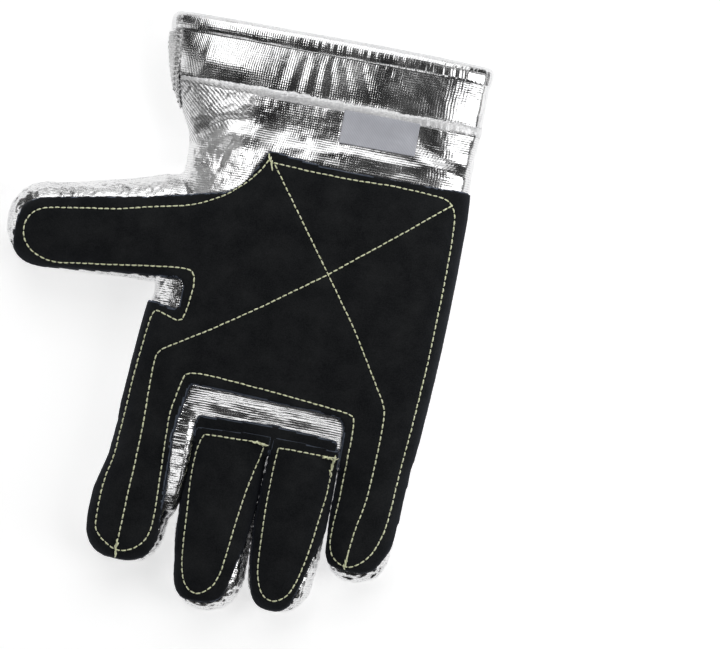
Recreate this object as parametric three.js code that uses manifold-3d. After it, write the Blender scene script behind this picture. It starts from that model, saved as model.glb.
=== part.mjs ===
// An aluminized proximity glove for the right hand, lying on its back with the palm up.
// Millimetres. +X runs from the thumb side to the little-finger side, +Y from the fingertips to the cuff,
// +Z out of the palm. The origin is the middle of its footprint, on the surface that it lies on.
import * as THREE from "three";
import { mergeVertices } from "three/addons/utils/BufferGeometryUtils.js";
import Module from "manifold-3d";

const wasm = await Module();
wasm.setup();

// Driving sizes
const WALL = 4; // aluminized face, moisture barrier and felt together
const GAP = 0.3; // between neighbouring pieces
const LEATHER = 1.8;
const TAPE = 1.2; // folded aluminized tape at the side seam and the welt
const FLAP = 2.3; // padded knuckle flap
const LABEL = 0.7;
const SEAM_SHARE = 0.46; // height of the widest line, where the side seams run, as a share of the thickness
const SEAM_Z = 19; // where the palm panel meets the back panel
const PATCH_LOW_Z = 20; // the palm's leather stops just above the side seam
const FLAP_HIGH_Z = 13; // the knuckle flap stops below it
const FAR = 400; // longer than the glove, for cutting blocks
const MERGE_DISTANCE = 1e-4; // vertices closer than this are one
const CORNER_SEGMENTS = 4; // in each round corner of an outline
const CORNER_REACH = 0.48; // the most of an edge that a round corner may take up

// Places along the glove
const CROTCH_Y = -83; // end of the hand, between the fingers
const FINGER_SEAM_Y = -84.2;
const THUMB_SEAM_X = -73;
const THUMB_RANGE_Y = [-7.2, 72];
const WELT_Y = 107;
const HEM_Y = 132; // stitch line under the hem binding
const CUFF_END_Y = 143;
const WELT_WIDTH = 2.6;
const TAPE_FOOT_Z = 6; // the side seam's tape and the welt stop above the flattened back

// The hand and cuff, one row for each cross-section: its two edges, and its bottom and top.
const HAND = {
  axis: "y",
  spans: 14,
  palmPower: 2.9,
  backPower: 3.6,
  rows: [
    { along: CROTCH_Y, low: -75.5, high: 75.5, bottom: 6, top: 28 },
    { along: -79, low: -79.5, high: 79.5, bottom: 2, top: 33 },
    { along: -62, low: -78.5, high: 81, bottom: 2, top: 38 },
    { along: -26, low: -75.5, high: 83, bottom: 2, top: 41.5 },
    { along: 0, low: -72, high: 84, bottom: 0.6, top: 43 },
    { along: 25, low: -71, high: 84.5, bottom: -0.6, top: 43 },
    { along: 56, low: -68.5, high: 84.5, bottom: -0.6, top: 41 },
    { along: 75, low: -69, high: 84.5, bottom: -0.6, top: 38.5 },
    { along: 90, low: -75.5, high: 84.5, bottom: -0.6, top: 37 },
    { along: WELT_Y, low: -84, high: 85, bottom: -0.6, top: 36 },
    { along: HEM_Y, low: -89.5, high: 85.5, bottom: -0.6, top: 34.5 },
    { along: CUFF_END_Y, low: -89, high: 85.5, bottom: -0.6, top: 34 },
  ],
};
const HAND_STEP = 17; // longest distance between two cross-sections of the hand's outside

// The fingers and the thumb. The last row is where the round tip starts.
const FINGER_FORM = { axis: "y", spans: 7, palmPower: 2.3, backPower: 2.9 };
const DIGITS = {
  index_finger: {
    ...FINGER_FORM,
    tip: -156,
    rows: [
      { along: -45, low: -72, high: -48, bottom: 8, top: 31 },
      { along: -84, low: -79.5, high: -43, bottom: 2, top: 33 },
      { along: -100, low: -81.5, high: -41.8, bottom: -0.3, top: 32.5 },
      { along: -116, low: -85.5, high: -41.4, bottom: -0.6, top: 32 },
      { along: -135, low: -87, high: -43.8, bottom: -0.6, top: 30 },
    ],
  },
  middle_finger: {
    ...FINGER_FORM,
    tip: -171,
    rows: [
      { along: -45, low: -31, high: -4, bottom: 8, top: 31 },
      { along: -84, low: -38, high: 1.4, bottom: 2, top: 34 },
      { along: -105, low: -39, high: 1.8, bottom: -0.6, top: 33 },
      { along: -130, low: -39.2, high: 1.8, bottom: -0.6, top: 32 },
      { along: -151, low: -36.8, high: 0.4, bottom: -0.6, top: 30 },
    ],
  },
  ring_finger: {
    ...FINGER_FORM,
    tip: -167,
    rows: [
      { along: -45, low: 10, high: 35, bottom: 8, top: 31 },
      { along: -84, low: 3, high: 41, bottom: 2, top: 34 },
      { along: -105, low: 2.8, high: 41.4, bottom: -0.6, top: 33 },
      { along: -130, low: 3, high: 41.4, bottom: -0.6, top: 32 },
      { along: -148, low: 4.8, high: 40, bottom: -0.6, top: 30 },
    ],
  },
  little_finger: {
    ...FINGER_FORM,
    tip: -144,
    rows: [
      { along: -45, low: 48, high: 73, bottom: 8, top: 29 },
      { along: -84, low: 42.4, high: 79.5, bottom: 2, top: 31 },
      { along: -105, low: 42.2, high: 79, bottom: -0.6, top: 30 },
      { along: -125, low: 43, high: 78, bottom: -0.6, top: 28.5 },
    ],
  },
  thumb: {
    ...FINGER_FORM,
    axis: "x",
    tip: -155.5,
    rows: [
      { along: -45, low: 6, high: 50, bottom: 8, top: 34 },
      { along: -73, low: -3.6, high: 55.5, bottom: 0, top: 36 },
      { along: -90, low: -3.6, high: 50.5, bottom: -0.6, top: 35 },
      { along: -112, low: -5.2, high: 45, bottom: -0.6, top: 34 },
      { along: -135, low: -6.6, high: 39.5, bottom: -0.6, top: 31 },
    ],
  },
};
const TIP_ANGLES = [30, 54, 73, 86]; // degrees round each tip, a cross-section at each
const TIP_FULLNESS = 0.85; // below 1 makes a tip squarer than a ball
const FINGER_BOUNDS_X = { index_finger: -40.3, middle_finger: 2.3, ring_finger: 41.8, little_finger: FAR };

// The hem binding, one row for each cross-section: its share of the way to the cuff's end, and its bulge.
const HEM_ROLL = [
  { share: 0.02, bulge: 0.2 },
  { share: 0.2, bulge: 1.44 },
  { share: 0.5, bulge: 1.8 },
  { share: 0.8, bulge: 1.1 },
  { share: 1, bulge: -0.7 },
];
const HEM_BORE = WALL + 0.6; // its inside, measured in from the cuff's outside

// The main folds, each along a line. A height below zero is a crease and above it a bulge.
const FOLDS = [
  { side: "palm", x1: -77, y1: 103, x2: -40, y2: 91, width: 8, height: 1.8 },
  { side: "palm", x1: -62, y1: 80, x2: -36, y2: 92, width: 6, height: -1.8 },
  { side: "palm", x1: -62, y1: 66, x2: -34, y2: 83, width: 8, height: 1.6 },
  { side: "palm", x1: -34, y1: -61, x2: 36, y2: -63, width: 6, height: -1.6 },
  { side: "back", x1: -76, y1: 38, x2: -12, y2: 82, width: 10, height: -2.0 },
  { side: "back", x1: -70, y1: 52, x2: -10, y2: 98, width: 10, height: 1.4 },
  { side: "back", x1: -62, y1: 12, x2: -20, y2: -8, width: 11, height: -1.6 },
  { side: "back", x1: 30, y1: 30, x2: 80, y2: 18, width: 12, height: -1.4 },
  { side: "back", x1: 20, y1: 2, x2: 70, y2: -12, width: 11, height: 1.2 },
];

// Outlines seen from above, each corner with its rounding radius.
const PALM_PATCH = [
  { x: -25, y: 77, r: 2 },
  { x: -37, y: 52.5, r: 24 },
  { x: -88, y: 40.5, r: 80 },
  { x: -153, y: 28.5, r: 18 },
  { x: -154, y: -9, r: 17 },
  { x: -57, y: 1, r: 5 },
  { x: -58, y: -16, r: 2 },
  { x: -79, y: -12.5, r: 1 },
  { x: -81, y: -60, r: 60 },
  { x: -83, y: -99, r: 40 },
  { x: -90, y: -122, r: 30 },
  { x: -88, y: -155, r: 20 },
  { x: -47, y: -156, r: 20 },
  { x: -46, y: -112, r: 60 },
  { x: -47, y: -80, r: 60 },
  { x: -43, y: -54, r: 2 },
  { x: 40.5, y: -57.5, r: 7 },
  { x: 43.4, y: -88, r: 60 },
  { x: 44, y: -141.5, r: 15 },
  { x: 77, y: -141.5, r: 25 },
  { x: 88, y: -84, r: 60 },
  { x: 90, y: 40, r: 60 },
  { x: 86, y: 74, r: 2 },
  { x: 10, y: 73.2, r: 300 },
];
const MIDDLE_PATCH = [
  { x: -36.5, y: -74.6, r: 4 },
  { x: -38, y: -120, r: 120 },
  { x: -33.5, y: -171, r: 13 },
  { x: -10, y: -170, r: 12 },
  { x: -3, y: -125, r: 80 },
  { x: 2, y: -98, r: 60 },
  { x: 3.4, y: -73.6, r: 1.5 },
];
const RING_PATCH = [
  { x: 5.2, y: -73.6, r: 2.5 },
  { x: 3.6, y: -100, r: 60 },
  { x: 4.5, y: -138, r: 60 },
  { x: 9, y: -168, r: 13 },
  { x: 30, y: -167, r: 14 },
  { x: 40.4, y: -122, r: 60 },
  { x: 40, y: -75, r: 1.5 },
];
const CREASE_STRIP = [
  { x: -37, y: -69.6, r: 2.5 },
  { x: -38, y: -74.2, r: 0.4 },
  { x: 3.6, y: -73.2, r: 20 },
  { x: 39.6, y: -74.6, r: 0.4 },
  { x: 39.6, y: -70, r: 2 },
  { x: 4, y: -67.8, r: 60 },
];
const KNUCKLE_FLAP = [
  { x: -90, y: -27, r: 1 },
  { x: -90, y: -60, r: 10 },
  { x: -46, y: -78, r: 14 },
  { x: 20, y: -80, r: 60 },
  { x: 50, y: -81, r: 14 },
  { x: 95, y: -64, r: 10 },
  { x: 95, y: -27, r: 1 },
];
const SIDE_BINDING = [
  { x: -110, y: HEM_Y - 0.5, r: 1 },
  { x: -110, y: 84, r: 1 },
  { x: -74, y: 84, r: 3 },
  { x: -79.5, y: WELT_Y, r: 40 },
  { x: -81.5, y: HEM_Y - 0.5, r: 1 },
];
const LABEL_OUTLINE = [
  { x: 10.5, y: WELT_Y - 1.8, r: 0.5 },
  { x: 10.5, y: 87.5, r: 0.5 },
  { x: 52, y: 87.5, r: 0.5 },
  { x: 52, y: WELT_Y - 1.8, r: 0.5 },
];

// Turns an indexed mesh into a solid, facing out.
function toSolid(positions, index) {
  let volume = 0;
  for (let i = 0; i < index.length; i += 3) {
    const [a, b, c] = [0, 1, 2].map((k) => new THREE.Vector3().fromArray(positions, 3 * index[i + k]));
    volume += a.dot(b.cross(c));
  }
  const triVerts = Uint32Array.from(index);
  if (volume < 0) {
    for (let i = 0; i < triVerts.length; i += 3) {
      [triVerts[i + 1], triVerts[i + 2]] = [triVerts[i + 2], triVerts[i + 1]];
    }
  }
  return new wasm.Manifold(
    new wasm.Mesh({ numProp: 3, vertProperties: Float32Array.from(positions), triVerts })
  );
}

function geometryToSolid(geometry) {
  geometry.deleteAttribute("normal");
  geometry.deleteAttribute("uv");
  const merged = mergeVertices(geometry, MERGE_DISTANCE);
  return toSolid(merged.attributes.position.array, Array.from(merged.index.array));
}

function block(x, y, z) {
  const box = new THREE.BoxGeometry(x[1] - x[0], y[1] - y[0], z[1] - z[0]);
  box.translate((x[0] + x[1]) / 2, (y[0] + y[1]) / 2, (z[0] + z[1]) / 2);
  return geometryToSolid(box);
}

// The height that the folds add at a point of one side.
function foldHeight(x, y, side) {
  let sum = 0;
  for (const f of FOLDS.filter((fold) => fold.side === side)) {
    const line = new THREE.Line3(new THREE.Vector3(f.x1, f.y1, 0), new THREE.Vector3(f.x2, f.y2, 0));
    const point = new THREE.Vector3(x, y, 0);
    const away = line.closestPointToPoint(point, true, new THREE.Vector3()).distanceTo(point);
    sum += f.height * Math.exp(-((away / f.width) ** 2));
  }
  return sum;
}

// One ring of a form: over the palm side from the high edge to the low one, and back under it.
function ringOf(form, row, folded) {
  const middle = (row.low + row.high) / 2;
  const half = (row.high - row.low) / 2;
  const seam = row.bottom + SEAM_SHARE * (row.top - row.bottom);
  const points = [];
  for (let i = 0; i < 2 * form.spans; i++) {
    const u = Math.cos((Math.PI * i) / form.spans);
    const palm = i <= form.spans;
    const power = palm ? form.palmPower : form.backPower;
    const share = Math.max(0, 1 - Math.abs(u) ** power) ** (1 / power);
    const across = middle + half * u;
    const x = form.axis === "y" ? across : row.along;
    const y = form.axis === "y" ? row.along : across;
    const fold = folded ? foldHeight(x, y, palm ? "palm" : "back") * share : 0;
    const z = palm ? seam + (row.top - seam) * share + fold : seam - (seam - row.bottom) * share - fold;
    points.push(x, y, z);
  }
  return points;
}

// A closed solid through the rings of a form's rows.
function loft(form, rows, folded = false) {
  const sides = 2 * form.spans;
  const positions = rows.flatMap((row) => ringOf(form, row, folded));
  const index = [];
  for (let r = 0; r + 1 < rows.length; r++) {
    for (let i = 0; i < sides; i++) {
      const next = (i + 1) % sides;
      const [a, b, c, d] = [r * sides + i, r * sides + next, (r + 1) * sides + next, (r + 1) * sides + i];
      index.push(a, b, c, a, c, d);
    }
  }
  const last = (rows.length - 1) * sides;
  for (let i = 1; i + 1 < sides; i++) {
    index.push(0, i + 1, i, last, last + i, last + i + 1);
  }
  return toSolid(positions, index);
}

const grown = (row, by) => ({
  ...row,
  low: row.low - by,
  high: row.high + by,
  bottom: row.bottom - by,
  top: row.top + by,
});

const between = (a, b, t) =>
  Object.fromEntries(Object.keys(a).map((key) => [key, THREE.MathUtils.lerp(a[key], b[key], t)]));

// The hand and cuff grown by an amount, below zero for the hollow, which runs out past the cuff.
function handSolid(by) {
  const rows = [];
  HAND.rows.forEach((row, i) => {
    const next = HAND.rows[i + 1];
    rows.push(row);
    if (next === undefined || by < 0) return;
    const steps = Math.ceil((next.along - row.along) / HAND_STEP);
    for (let s = 1; s < steps; s++) rows.push(between(row, next, s / steps));
  });
  const sized = rows.map((row) => grown(row, by));
  sized[0].along -= by;
  if (by < 0) {
    sized[1].along -= by;
    sized.at(-1).along += 2 * WALL;
  }
  return loft(HAND, sized, by >= 0);
}

// A finger or thumb grown by an amount, with a round tip.
function digitSolid(digit, by) {
  const rows = digit.rows.map((row) => grown(row, by));
  const start = rows.at(-1);
  const length = Math.abs(digit.tip - start.along) + by;
  const middle = { across: (start.low + start.high) / 2, up: (start.bottom + start.top) / 2 };
  const tip = TIP_ANGLES.map((degrees) => {
    const angle = THREE.MathUtils.degToRad(degrees);
    const share = Math.cos(angle) ** TIP_FULLNESS;
    return {
      along: start.along - length * Math.sin(angle),
      low: middle.across + (start.low - middle.across) * share,
      high: middle.across + (start.high - middle.across) * share,
      bottom: middle.up + (start.bottom - middle.up) * share,
      top: middle.up + (start.top - middle.up) * share,
    };
  });
  return loft(digit, [...rows, ...tip]);
}

// The whole glove as one solid, grown by an amount.
function gloveSolid(by) {
  return Object.values(DIGITS).reduce((whole, digit) => whole.add(digitSolid(digit, by)), handSolid(by));
}

// An outline with round corners, as a shape.
function roundedShape(corners) {
  const shape = new THREE.Shape();
  corners.forEach((corner, i) => {
    const at = new THREE.Vector2(corner.x, corner.y);
    const back = corners[(i + corners.length - 1) % corners.length];
    const on = corners[(i + 1) % corners.length];
    const toBack = new THREE.Vector2(back.x, back.y).sub(at);
    const toOn = new THREE.Vector2(on.x, on.y).sub(at);
    const turn = Math.abs(toBack.angleTo(toOn));
    const wanted = corner.r / Math.tan(turn / 2);
    const reach = Math.min(wanted, CORNER_REACH * toBack.length(), CORNER_REACH * toOn.length());
    const start = at.clone().addScaledVector(toBack.normalize(), reach);
    const end = at.clone().addScaledVector(toOn.normalize(), reach);
    if (i === 0) shape.moveTo(start.x, start.y);
    else shape.lineTo(start.x, start.y);
    shape.quadraticCurveTo(at.x, at.y, end.x, end.y);
  });
  shape.closePath();
  return shape;
}

function prism(corners, low, high) {
  const geometry = new THREE.ExtrudeGeometry(roundedShape(corners), {
    depth: high - low,
    bevelEnabled: false,
    curveSegments: CORNER_SEGMENTS,
  });
  geometry.translate(0, 0, low);
  return geometryToSolid(geometry);
}

const outer = gloveSolid(0);
const floor = block([-FAR, FAR], [-FAR, FAR], [-FAR, 0]);
const shell = outer.subtract(gloveSolid(-WALL)).subtract(floor);

// A layer that lies on the glove, clear of it by the gap: the part of it inside an outline.
const clearOuter = gloveSolid(GAP);
function layer(corners, thickness, low, high) {
  const skin = gloveSolid(GAP + thickness).subtract(clearOuter);
  return skin.intersect(prism(corners, low, high)).subtract(floor);
}

const HALF = GAP / 2;
const thumbRoom = block(
  [-FAR, THUMB_SEAM_X + HALF],
  [THUMB_RANGE_Y[0] - GAP, THUMB_RANGE_Y[1] + GAP],
  [-FAR, FAR]
);
const panel = (z) =>
  shell.intersect(block([-FAR, FAR], [FINGER_SEAM_Y + HALF, WELT_Y - HALF], z)).subtract(thumbRoom);

const fingerSolids = {};
let edge = -FAR;
for (const [name, bound] of Object.entries(FINGER_BOUNDS_X)) {
  const slab = block([edge + HALF, bound - HALF], [-FAR, FINGER_SEAM_Y - HALF], [-FAR, FAR]);
  fingerSolids[name] = shell.intersect(slab);
  edge = bound;
}
const thumbBlock = block([-FAR, THUMB_SEAM_X - HALF], THUMB_RANGE_Y, [-FAR, FAR]);
const bandBlock = block([-FAR, FAR], [WELT_Y + HALF, HEM_Y - HALF], [-FAR, FAR]);

// The hem binding: a padded roll round the cuff's edge.
function hemBinding() {
  const start = HAND.rows.at(-2);
  const end = HAND.rows.at(-1);
  const ring = ({ share, bulge }) => {
    const row = between(start, end, share);
    return { ...grown(row, bulge), along: row.along };
  };
  const bore = [ring({ share: -1, bulge: -HEM_BORE }), ring({ share: 2, bulge: -HEM_BORE })];
  return loft(HAND, HEM_ROLL.map(ring)).subtract(loft(HAND, bore)).subtract(floor);
}

// The welt: a narrow raised ridge over the cuff, from the side seam's tape to the little-finger side.
const tapeClearance = prism(SIDE_BINDING.map((c) => ({ ...c, x: c.x + 2 * GAP })), -FAR, FAR);
const weltBlock = block([-FAR, FAR], [WELT_Y - WELT_WIDTH / 2, WELT_Y + WELT_WIDTH / 2], [TAPE_FOOT_Z, FAR]);
const welt = gloveSolid(GAP + TAPE).subtract(clearOuter).intersect(weltBlock).subtract(tapeClearance);

const ALUMINIZED = { color: 0xc9cacc, roughness: 0.28, metalness: 1.0 };
const SUEDE = { color: 0x131416, roughness: 0.95, metalness: 0.0 };
const SATIN = { color: 0xa3a5ad, roughness: 0.6, metalness: 0.0 };

const glove = new THREE.Group();

function addPiece(name, solid, look) {
  const { vertProperties, triVerts } = solid.getMesh();
  const geometry = new THREE.BufferGeometry();
  geometry.setAttribute("position", new THREE.BufferAttribute(vertProperties, 3));
  geometry.setIndex(new THREE.BufferAttribute(triVerts, 1));
  geometry.computeVertexNormals();
  const mesh = new THREE.Mesh(geometry, new THREE.MeshStandardMaterial(look));
  mesh.name = name;
  glove.add(mesh);
}

addPiece("palm_shell", panel([SEAM_Z + HALF, FAR]), ALUMINIZED);
addPiece("back_shell", panel([-FAR, SEAM_Z - HALF]), ALUMINIZED);
for (const [name, solid] of Object.entries(fingerSolids)) addPiece(name, solid, ALUMINIZED);
addPiece("thumb", shell.intersect(thumbBlock), ALUMINIZED);
addPiece("cuff_band", shell.intersect(bandBlock), ALUMINIZED);
addPiece("welt", welt, ALUMINIZED);
addPiece("hem_binding", hemBinding(), ALUMINIZED);
addPiece("side_seam_binding", layer(SIDE_BINDING, TAPE, TAPE_FOOT_Z, FAR), ALUMINIZED);
addPiece("knuckle_flap", layer(KNUCKLE_FLAP, FLAP, -FAR, FLAP_HIGH_Z), ALUMINIZED);
addPiece("palm_patch", layer(PALM_PATCH, LEATHER, PATCH_LOW_Z, FAR), SUEDE);
addPiece("middle_patch", layer(MIDDLE_PATCH, LEATHER, PATCH_LOW_Z, FAR), SUEDE);
addPiece("ring_patch", layer(RING_PATCH, LEATHER, PATCH_LOW_Z, FAR), SUEDE);
addPiece("crease_strip", layer(CREASE_STRIP, LEATHER, PATCH_LOW_Z, FAR), SUEDE);
addPiece("label", layer(LABEL_OUTLINE, LABEL, PATCH_LOW_Z, FAR), SATIN);

const box = new THREE.Box3().setFromObject(glove);
const centre = box.getCenter(new THREE.Vector3());
glove.position.set(-centre.x, -centre.y, -box.min.z);

export default glove;
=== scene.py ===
"""Looks of the aluminized proximity glove: crinkled aluminized cloth, black suede, stitches, floor and lights."""

import math

import bmesh
import bpy
import numpy as np
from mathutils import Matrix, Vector, noise
from mathutils.bvhtree import BVHTree


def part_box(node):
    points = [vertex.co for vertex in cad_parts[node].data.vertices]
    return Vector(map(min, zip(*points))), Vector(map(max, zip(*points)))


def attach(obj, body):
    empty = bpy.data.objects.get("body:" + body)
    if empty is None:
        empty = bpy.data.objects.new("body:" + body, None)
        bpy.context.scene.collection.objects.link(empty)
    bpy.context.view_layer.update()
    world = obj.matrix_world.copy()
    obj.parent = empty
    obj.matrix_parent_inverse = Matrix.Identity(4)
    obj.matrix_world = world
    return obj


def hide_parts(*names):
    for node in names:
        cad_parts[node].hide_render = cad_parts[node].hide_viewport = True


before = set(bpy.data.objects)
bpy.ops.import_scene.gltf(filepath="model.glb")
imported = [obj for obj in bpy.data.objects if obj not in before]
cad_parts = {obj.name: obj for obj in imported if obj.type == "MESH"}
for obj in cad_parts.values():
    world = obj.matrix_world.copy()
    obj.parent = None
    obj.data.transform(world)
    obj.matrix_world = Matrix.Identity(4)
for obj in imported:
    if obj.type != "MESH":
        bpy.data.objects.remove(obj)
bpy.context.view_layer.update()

MM = 0.001
TURN = 2 * math.pi

# Places in the glove's own millimetres: x from the thumb's side, y from the fingertips to the cuff, z out of the palm.
WELT_Y = 107.0
HEM_Y = 132.0
CUFF_END_Y = 143.0
FINGER_SEAM_Y = -84.2
THUMB_SEAM_X = -73.0
THUMB_Y, THUMB_HALF_Y = 32.4, 39.6
MIDDLE_FINGER_X = -18.7
GUSSET_X = -45.0
FINGER_GAPS_X = (-40.3, 2.3, 41.8)
WINDOW_HALF_X = 46
SIDE_SEAM_Z = 19.0
DIGIT_SEAMS_Z = (11.5, 20.5)
PATCH_LOW_Z = 20.0
COVER_LOW_Z = 6.3
ABOVE_Z = 90.0
LABEL_LEFT, LABEL_RIGHT = 10.6, 51.9
LABEL_LOW, LABEL_TOP = 87.6, WELT_Y - 1.5

# How far a digit that is cut short and the open cuff go on beyond their seam and their end.
STUB_REACH = 8
CUFF_OVERRUN = 9

# A distance beyond all of the glove.
FAR = 200

# Thicknesses, and how far folds and crinkles may move the cloth.
WALL = 4.0
LEATHER = 1.8
STRIP_LEATHER = 1.2
LEATHER_GAP = 0.3
MOST_LIFT = 2.2
MOST_MOVE = 3.2
CRINKLE = 0.6

# The cloth's least heights above the floor: before it crinkles, after it and where it is pressed down.
SHAPED_LOW_Z = 0.35
CLOTH_LOW_Z = 0.3
PRESSED_LOW_Z = 0.25

# How fine the meshes are: steps and voxels in millimetres, and points round a ring.
RING_STEP = 2.5
BASE_VOXEL = 1.6
HAND_VOXEL = 1.8
DIGIT_VOXEL = 1.6
LEATHER_VOXEL = 1.0
SMALL_VOXEL = 0.7
TAPE_VOXEL = 0.8
FLAP_VOXEL = 1.1
HEM_POINTS = 420
WELT_POINTS = 700

# The share of a form's height at which it is widest, and the power that rounds a digit's tip.
SEAM_SHARE = 0.46
TIP_FULLNESS = 0.85

# The cloth simulation. The cloth shrinks between its points, and these weights hold them back.
HOLD = {"digits": 0.55, "hand": 0.6, "leather": 0.8, "floor": 0.9, "seam": 1.0}
CLOTH_FRAMES = 12
CLOTH = {
    "quality": 4, "mass": 0.3, "tension_stiffness": 15, "compression_stiffness": 15, "shear_stiffness": 5,
    "bending_stiffness": 0.3, "shrink_min": -0.06, "vertex_group_mass": "hold", "pin_stiffness": 1,
}


def frame_shift():
    """Where the glove's own origin lies in the row frame, in millimetres."""
    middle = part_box("middle_finger")
    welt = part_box("welt")
    across = (middle[0].x + middle[1].x) / 2 / MM - MIDDLE_FINGER_X
    along = (welt[0].y + welt[1].y) / 2 / MM - WELT_Y
    return np.array([across, along, 0.0])


SHIFT = frame_shift()


def to_row(points):
    """Glove millimetres to row metres."""
    return (np.asarray(points, float) + SHIFT) * MM


def digit(tip, *rows, axis="y", power=2.3):
    """A digit's form. Without a tip it is cut straight."""
    return {"axis": axis, "palm_power": power, "back_power": 2.9, "tip": tip, "rows": list(rows)}


# The forms. Each row: place along the form's axis, its two edges, its bottom and its top.
HAND = {
    "axis": "y",
    "palm_power": 2.9,
    "back_power": 3.6,
    "tip": None,
    "rows": [
        (-83, -74.8, 75.5, 6, 28), (-79, -78.6, 79.5, 2, 33), (-62, -77.6, 81, 2, 38), (-26, -74.6, 83, 2, 41.5),
        (0, -72, 84, 0.6, 43), (25, -71, 84.5, -0.6, 43), (56, -68.5, 84.5, -0.6, 41), (75, -69, 84.5, -0.6, 38.5),
        (90, -75.5, 84.5, -0.6, 37), (WELT_Y, -84, 85, -0.6, 36), (HEM_Y, -89.5, 85.5, -0.6, 34.5),
        (CUFF_END_Y, -89, 85.5, -0.6, 34),
    ],
}
WELT_ROW, HEM_ROW, CUFF_END_ROW = HAND["rows"][-3:]
DIGITS = {
    "index_finger": digit(
        -155.3, (-45, -72, -48, 8, 31), (-84, -78.6, -43, 2, 33), (-100, -80.6, -41.8, -0.3, 32.5),
        (-116, -84.7, -41.4, -0.6, 32), (-135, -86.4, -43.8, -0.6, 30),
    ),
    "middle_finger": digit(
        -173.6, (-45, -31, -4, 8, 31), (-84, -38, 1.4, 2, 34), (-105, -39, 1.8, -0.6, 33),
        (-130, -38.4, 2.4, -0.6, 32), (-151, -35.4, 2.8, -0.6, 30),
    ),
    "ring_finger": digit(
        -167, (-45, 10, 35, 8, 31), (-84, 3, 41, 2, 34), (-105, 2.8, 41.4, -0.6, 33), (-130, 3, 41.4, -0.6, 32),
        (-148, 4.8, 40, -0.6, 30),
    ),
    "little_finger": digit(
        -144, (-45, 48, 73, 8, 29), (-84, 42.4, 79.5, 2, 31), (-105, 42.2, 79, -0.6, 30), (-125, 43, 78, -0.6, 28.5),
    ),
    "thumb": digit(
        -158, (-45, 6, 50, 8, 34), (-73, -3.6, 55.5, 0, 36), (-90, -3.6, 50.5, -0.6, 35), (-112, -5.2, 45, -0.6, 34),
        (-135, -6.6, 39.5, -0.6, 31), axis="x",
    ),
}

# The gusset that fills the gap between the index and middle finger, on the index finger and the hand.
GUSSET = digit(
    None, (-66, -51, -38, 5, 36.5), (-84, -53, -36.4, 5, 36), (-98, -51.5, -36.6, 5, 34), (-112, -50, -38.0, 6, 31.5),
    (-121, -49, -39.6, 8, 28), (-127, -48, -41.4, 9, 16), power=4.5,
)


def calm_slopes(table, along):
    """The slopes of smooth curves through the rows that don't swing past them."""
    steps = np.diff(table, axis=0) / np.diff(along)[:, None]
    before, after = steps[:-1], steps[1:]
    both = before * after > 0
    mean = np.where(both, 2 * before * after / np.where(both, before + after, 1), 0)
    return np.concatenate([steps[:1], mean, steps[-1:]])


def smooth_rows(rows, step):
    """The rows, and rows between them on smooth curves, about a step apart."""
    table = np.array(rows, float)
    order = np.argsort(table[:, 0])
    table = table[order]
    along = table[:, 0]
    slope = calm_slopes(table, along)
    out = []
    for i in range(len(table) - 1):
        length = along[i + 1] - along[i]
        count = max(1, math.ceil(length / step))
        t = np.arange(count)[:, None] / count
        h00, h10 = 2 * t**3 - 3 * t**2 + 1, t**3 - 2 * t**2 + t
        h01, h11 = -2 * t**3 + 3 * t**2, t**3 - t**2
        out.append(h00 * table[i] + h10 * length * slope[i] + h01 * table[i + 1] + h11 * length * slope[i + 1])
    out.append(table[-1:])
    return np.concatenate(out)


def tip_rows(form, steps):
    """The rows of a digit's round tip."""
    along, low, high, bottom, top = form["rows"][-1]
    across, up = (low + high) / 2, (bottom + top) / 2
    rows = []
    for angle in np.linspace(0, math.radians(88), steps)[1:]:
        share = math.cos(angle) ** TIP_FULLNESS
        rows.append((
            along - abs(form["tip"] - along) * math.sin(angle),
            across + (low - across) * share,
            across + (high - across) * share,
            up + (bottom - up) * share,
            up + (top - up) * share,
        ))
    return rows


def form_rings(form, step, count):
    """Rings of points round a form, spaced evenly: an array of rows by count by 3."""
    rows = smooth_rows(form["rows"], step)
    if form["tip"] is not None:
        rows = np.concatenate([np.array(tip_rows(form, 14), float)[::-1], rows])
    angle = np.linspace(0, TURN, 4 * count, endpoint=False)
    u = np.cos(angle)
    palm = np.sin(angle) >= 0
    power = np.where(palm, form["palm_power"], form["back_power"])
    share = np.maximum(0, 1 - np.abs(u) ** power) ** (1 / power)
    rings = []
    for along, low, high, bottom, top in rows:
        seam = bottom + SEAM_SHARE * (top - bottom)
        across = (low + high) / 2 + (high - low) / 2 * u
        up = np.where(palm, seam + (top - seam) * share, seam - (seam - bottom) * share)
        loop_across, loop_up = np.append(across, across[0]), np.append(up, up[0])
        reach = np.concatenate([[0], np.cumsum(np.hypot(np.diff(loop_across), np.diff(loop_up)))])
        at = np.linspace(0, reach[-1], count, endpoint=False)
        x, z = np.interp(at, reach, loop_across), np.interp(at, reach, loop_up)
        y = np.full(count, along)
        rings.append(np.stack([x, y, z] if form["axis"] == "y" else [y, x, z], axis=1))
    return np.array(rings)


def ring_mesh(rings, torus=False):
    """Vertices and faces of a tube through rings, with flat ends or with its last ring joined to its first."""
    rows, count, _ = rings.shape
    index = np.arange(rows * count).reshape(rows, count)
    on = np.concatenate([index, index[:1]]) if torus else index
    around = np.roll(on, -1, axis=1)
    faces = np.stack([on[:-1], around[:-1], around[1:], on[1:]], axis=-1).reshape(-1, 4).tolist()
    if not torus:
        faces += [index[0][::-1].tolist(), index[-1].tolist()]
    return rings.reshape(-1, 3), faces


def placed(name, data):
    """A new object in the scene."""
    made = bpy.data.objects.new(name, data)
    bpy.context.scene.collection.objects.link(made)
    return made


def new_mesh(name, points, faces):
    """A mesh object from glove millimetres."""
    mesh = bpy.data.meshes.new(name)
    mesh.from_pydata(to_row(points).tolist(), [], faces)
    mesh.validate()
    return placed(name, mesh)


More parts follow.
